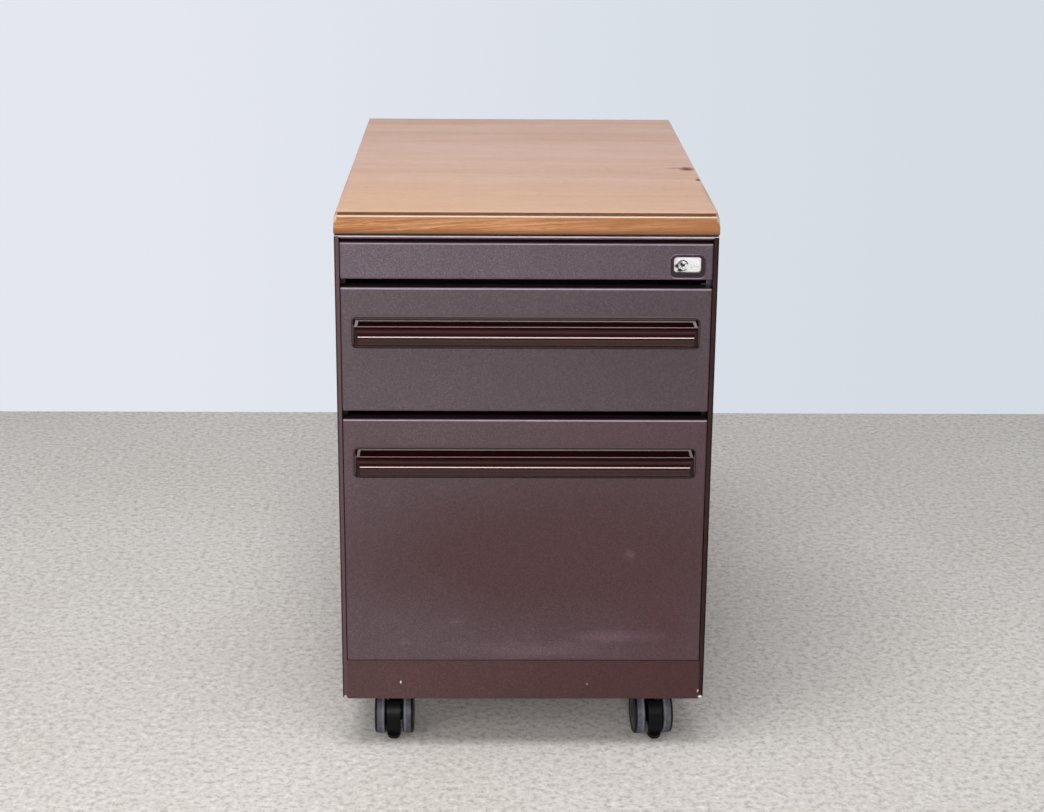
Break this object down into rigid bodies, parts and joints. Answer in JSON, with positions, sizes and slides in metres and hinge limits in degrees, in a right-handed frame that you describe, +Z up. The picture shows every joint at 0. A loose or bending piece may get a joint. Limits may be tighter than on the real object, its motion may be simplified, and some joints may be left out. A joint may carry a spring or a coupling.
{
  "type": "mobile drawer pedestal",
  "caption": "Steel drawer pedestal on twin-wheel casters with a wooden top, locking pen tray, box drawer and file drawer with full-width moulded pulls.",
  "frame": {"origin": "on the floor, under the middle of the bounding box", "axes": "+X to the right seen from the front, +Y from the front to the back, +Z up"},
  "size_m": [0.4, 0.6256, 0.6105],
  "materials": {
    "case_paint": "fine satin powder coat",
    "front_paint": "fine satin powder coat",
    "inner_paint": "satin powder coat",
    "board": "satin clear coat",
    "lipping": "satin clear coat, worn corners",
    "pull_plastic": "polished",
    "zinc": "bright zinc plate",
    "lock_bright": "polished nickel",
    "black_plastic": "fine moulded",
    "nylon": "plain",
    "wheel": "satin, worn tread"
  },
  "bodies": {
    "case": {"side_left": "case_paint", "side_right": "case_paint", "back_panel": "case_paint", "base_pan": "case_paint", "plinth": "case_paint", "top_pan": "case_paint", "top_rail": "inner_paint", "uprights": "inner_paint", "top_board": "board", "top_lipping": "lipping", "top_screws": "zinc", "tray_rails": "zinc", "bar_guides": "inner_paint", "upper_slide_case": "zinc", "file_slide_case": "zinc", "caster_plates": "zinc"},
    "pen_tray": {"tray_front": "front_paint", "tray_body": "inner_paint", "tray_runners": "zinc", "tray_glides": "nylon", "pen_insert": "black_plastic", "lock_bezel": "black_plastic", "lock_plate": "lock_bright", "lock_housing": "zinc"},
    "lock_plug": {"lock_plug": "lock_bright"},
    "key": {"key_bow": "lock_bright"},
    "lock_bolt": {"lock_bolt": "zinc"},
    "gang_bar": {"gang_bar": "zinc", "gang_hooks": "zinc"},
    "upper_drawer": {"upper_front": "front_paint", "upper_body": "inner_paint", "upper_pull": "pull_plastic", "upper_catch": "zinc", "upper_slide_inner": "zinc"},
    "upper_mid": {"upper_slide_mid": "zinc"},
    "upper_case_cage": {"upper_case_cages": "zinc"},
    "upper_inner_cage": {"upper_inner_cages": "zinc"},
    "file_drawer": {"file_front": "front_paint", "file_body": "inner_paint", "file_pull": "pull_plastic", "file_catch": "zinc", "file_slide_inner": "zinc", "file_rails": "zinc"},
    "file_mid": {"file_slide_mid": "zinc"},
    "file_case_cage": {"file_case_cages": "zinc"},
    "file_inner_cage": {"file_inner_cages": "zinc"},
    "fl_fork": {"fl_fork": "black_plastic"},
    "fl_wheel_left": {"fl_wheel_left": "wheel"},
    "fl_wheel_right": {"fl_wheel_right": "wheel"},
    "fl_brake": {"fl_brake": "black_plastic"},
    "fr_fork": {"fr_fork": "black_plastic"},
    "fr_wheel_left": {"fr_wheel_left": "wheel"},
    "fr_wheel_right": {"fr_wheel_right": "wheel"},
    "fr_brake": {"fr_brake": "black_plastic"},
    "rl_fork": {"rl_fork": "black_plastic"},
    "rl_wheel_left": {"rl_wheel_left": "wheel"},
    "rl_wheel_right": {"rl_wheel_right": "wheel"},
    "rr_fork": {"rr_fork": "black_plastic"},
    "rr_wheel_left": {"rr_wheel_left": "wheel"},
    "rr_wheel_right": {"rr_wheel_right": "wheel"}
  },
  "joints": [
    {"name": "tray_slide", "type": "slide", "parent": "case", "child": "pen_tray", "axis": [0, -1, 0], "range_m": [0, 0.25]},
    {"name": "lock_turn", "type": "hinge", "parent": "pen_tray", "child": "lock_plug", "pos_m": [0.163, -0.289, 0.5546], "axis": [0, 1, 0], "range_deg": [0, 90]},
    {"name": "key_fold", "type": "hinge", "parent": "lock_plug", "child": "key", "pos_m": [0.163, -0.30325, 0.5546], "axis": [0, 0, -1], "range_deg": [0, 90]},
    {"name": "bolt_slide", "type": "slide", "parent": "pen_tray", "child": "lock_bolt", "axis": [1, 0, 0], "range_m": [0, 0.0113]},
    {"name": "bar_slide", "type": "slide", "parent": "case", "child": "gang_bar", "axis": [0, 0, 1], "range_m": [0, 0.0113]},
    {"name": "upper_slide", "type": "slide", "parent": "case", "child": "upper_drawer", "axis": [0, -1, 0], "range_m": [0, 0.4]},
    {"name": "upper_mid_slide", "type": "slide", "parent": "case", "child": "upper_mid", "axis": [0, -1, 0], "range_m": [0, 0.2]},
    {"name": "upper_case_cage_slide", "type": "slide", "parent": "case", "child": "upper_case_cage", "axis": [0, -1, 0], "range_m": [0, 0.1]},
    {"name": "upper_inner_cage_slide", "type": "slide", "parent": "case", "child": "upper_inner_cage", "axis": [0, -1, 0], "range_m": [0, 0.3]},
    {"name": "file_slide", "type": "slide", "parent": "case", "child": "file_drawer", "axis": [0, -1, 0], "range_m": [0, 0.48]},
    {"name": "file_mid_slide", "type": "slide", "parent": "case", "child": "file_mid", "axis": [0, -1, 0], "range_m": [0, 0.24]},
    {"name": "file_case_cage_slide", "type": "slide", "parent": "case", "child": "file_case_cage", "axis": [0, -1, 0], "range_m": [0, 0.12]},
    {"name": "file_inner_cage_slide", "type": "slide", "parent": "case", "child": "file_inner_cage", "axis": [0, -1, 0], "range_m": [0, 0.36]},
    {"name": "fl_swivel", "type": "hinge", "parent": "case", "child": "fl_fork", "pos_m": [-0.145, -0.23825, 0.04], "axis": [0, 0, 1], "continuous": true},
    {"name": "fl_spin_left", "type": "hinge", "parent": "fl_fork", "child": "fl_wheel_left", "pos_m": [-0.145, -0.25425, 0.025], "axis": [1, 0, 0], "continuous": true},
    {"name": "fl_spin_right", "type": "hinge", "parent": "fl_fork", "child": "fl_wheel_right", "pos_m": [-0.145, -0.25425, 0.025], "axis": [1, 0, 0], "continuous": true},
    {"name": "fl_brake_turn", "type": "hinge", "parent": "fl_fork", "child": "fl_brake", "pos_m": [-0.145, -0.25425, 0.025], "axis": [-1, 0, 0], "range_deg": [0, 18]},
    {"name": "fr_swivel", "type": "hinge", "parent": "case", "child": "fr_fork", "pos_m": [0.145, -0.23825, 0.04], "axis": [0, 0, 1], "continuous": true},
    {"name": "fr_spin_left", "type": "hinge", "parent": "fr_fork", "child": "fr_wheel_left", "pos_m": [0.14653, -0.25418, 0.025], "axis": [0.9954, 0.0958, 0], "continuous": true},
    {"name": "fr_spin_right", "type": "hinge", "parent": "fr_fork", "child": "fr_wheel_right", "pos_m": [0.14653, -0.25418, 0.025], "axis": [0.9954, 0.0958, 0], "continuous": true},
    {"name": "fr_brake_turn", "type": "hinge", "parent": "fr_fork", "child": "fr_brake", "pos_m": [0.14653, -0.25418, 0.025], "axis": [-0.9954, -0.0958, 0], "range_deg": [0, 18]},
    {"name": "rl_swivel", "type": "hinge", "parent": "case", "child": "rl_fork", "pos_m": [-0.145, 0.24475, 0.04], "axis": [0, 0, 1], "continuous": true},
    {"name": "rl_spin_left", "type": "hinge", "parent": "rl_fork", "child": "rl_wheel_left", "pos_m": [-0.145, 0.22875, 0.025], "axis": [1, 0, 0], "continuous": true},
    {"name": "rl_spin_right", "type": "hinge", "parent": "rl_fork", "child": "rl_wheel_right", "pos_m": [-0.145, 0.22875, 0.025], "axis": [1, 0, 0], "continuous": true},
    {"name": "rr_swivel", "type": "hinge", "parent": "case", "child": "rr_fork", "pos_m": [0.145, 0.24475, 0.04], "axis": [0, 0, 1], "continuous": true},
    {"name": "rr_spin_left", "type": "hinge", "parent": "rr_fork", "child": "rr_wheel_left", "pos_m": [0.145, 0.22875, 0.025], "axis": [1, 0, 0], "continuous": true},
    {"name": "rr_spin_right", "type": "hinge", "parent": "rr_fork", "child": "rr_wheel_right", "pos_m": [0.145, 0.22875, 0.025], "axis": [1, 0, 0], "continuous": true}
  ],
  "couplings": [
    {"joint": "lock_turn", "follows": "bar_slide", "rad_per_m": 139},
    {"joint": "bolt_slide", "follows": "bar_slide", "ratio": 1},
    {"joint": "upper_mid_slide", "follows": "upper_slide", "ratio": 0.5},
    {"joint": "upper_case_cage_slide", "follows": "upper_slide", "ratio": 0.25},
    {"joint": "upper_inner_cage_slide", "follows": "upper_slide", "ratio": 0.75},
    {"joint": "file_mid_slide", "follows": "file_slide", "ratio": 0.5},
    {"joint": "file_case_cage_slide", "follows": "file_slide", "ratio": 0.25},
    {"joint": "file_inner_cage_slide", "follows": "file_slide", "ratio": 0.75}
  ]
}
